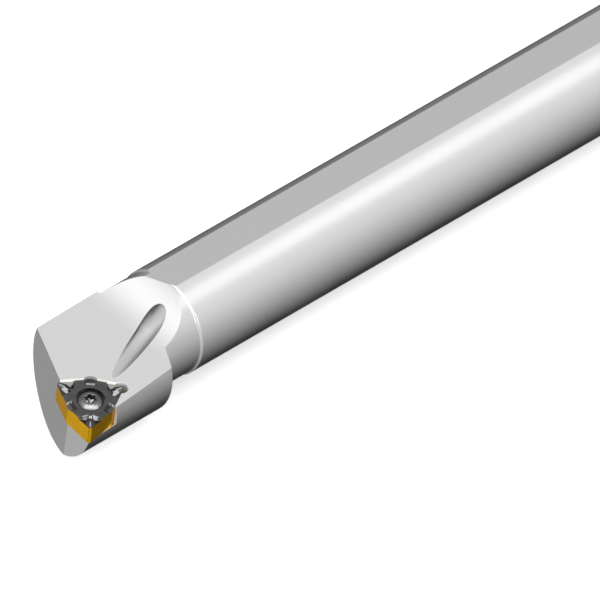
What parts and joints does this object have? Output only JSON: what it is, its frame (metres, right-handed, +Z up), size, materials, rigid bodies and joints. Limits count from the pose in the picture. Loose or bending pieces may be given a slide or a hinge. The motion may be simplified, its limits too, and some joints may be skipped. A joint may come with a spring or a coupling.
{
  "type": "boring bar",
  "caption": "Internal turning bar: round steel shank with opposed clamping flats, offset head with a screwed-on trigon insert, coolant bore and jet groove.",
  "frame": {"origin": "on the bar's axis at its rear face", "axes": "+X along the bar towards the cutting end, +Y towards the cutting corner, +Z up, square to the clamping flats"},
  "size_m": [0.18, 0.019, 0.0167],
  "materials": {
    "bar_steel": "fine ground, bright",
    "coated_carbide": "satin coating, dark on top, gold on the flanks",
    "screw_steel": "satin, dark"
  },
  "bodies": {
    "root": {"bar_body": "bar_steel", "insert": "coated_carbide", "insert_screw": "screw_steel"}
  },
  "joints": []
}
